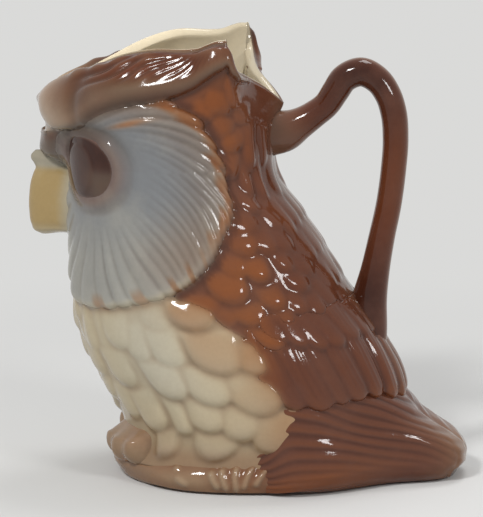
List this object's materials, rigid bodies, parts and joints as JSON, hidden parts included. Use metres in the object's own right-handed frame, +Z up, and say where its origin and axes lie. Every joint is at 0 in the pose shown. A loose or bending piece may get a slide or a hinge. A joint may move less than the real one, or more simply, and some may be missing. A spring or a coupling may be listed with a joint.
{
  "type": "figural pitcher",
  "caption": "Milk pitcher in the form of a sitting owl: hollow cast body with a wavy spouted rim, feather relief, tail and a looped handle at the back.",
  "frame": {"origin": "bottom centre of the bounding box: on the table, midway between the front of the beak and the tip of the tail", "axes": "+Z up, -X the way the owl and its spout face, -Y the owl's left; the plane Y = 0 is its plane of symmetry"},
  "size_m": [0.1238, 0.0712, 0.1237],
  "materials": {
    "ivory_glaze": "glossy ivory glaze on porcelain",
    "brown_glaze": "glossy airbrushed brown glaze on porcelain",
    "grey_glaze": "glossy pale blue-grey glaze on porcelain",
    "yellow_glaze": "glossy pale yellow glaze on porcelain",
    "tan_glaze": "glossy pinkish tan glaze on porcelain"
  },
  "bodies": {
    "root": {"vessel": "ivory_glaze", "foot_base": "tan_glaze", "breast_plumage": "ivory_glaze", "beak": "yellow_glaze", "tail": "brown_glaze", "handle": "brown_glaze", "face_disc_left": "grey_glaze", "face_disc_right": "grey_glaze", "eye_left": "brown_glaze", "eye_right": "brown_glaze", "brow_left": "brown_glaze", "brow_right": "brown_glaze", "wing_left": "brown_glaze", "wing_right": "brown_glaze", "mantle_left": "brown_glaze", "mantle_right": "brown_glaze", "foot_left": "tan_glaze", "foot_right": "tan_glaze"}
  },
  "joints": []
}
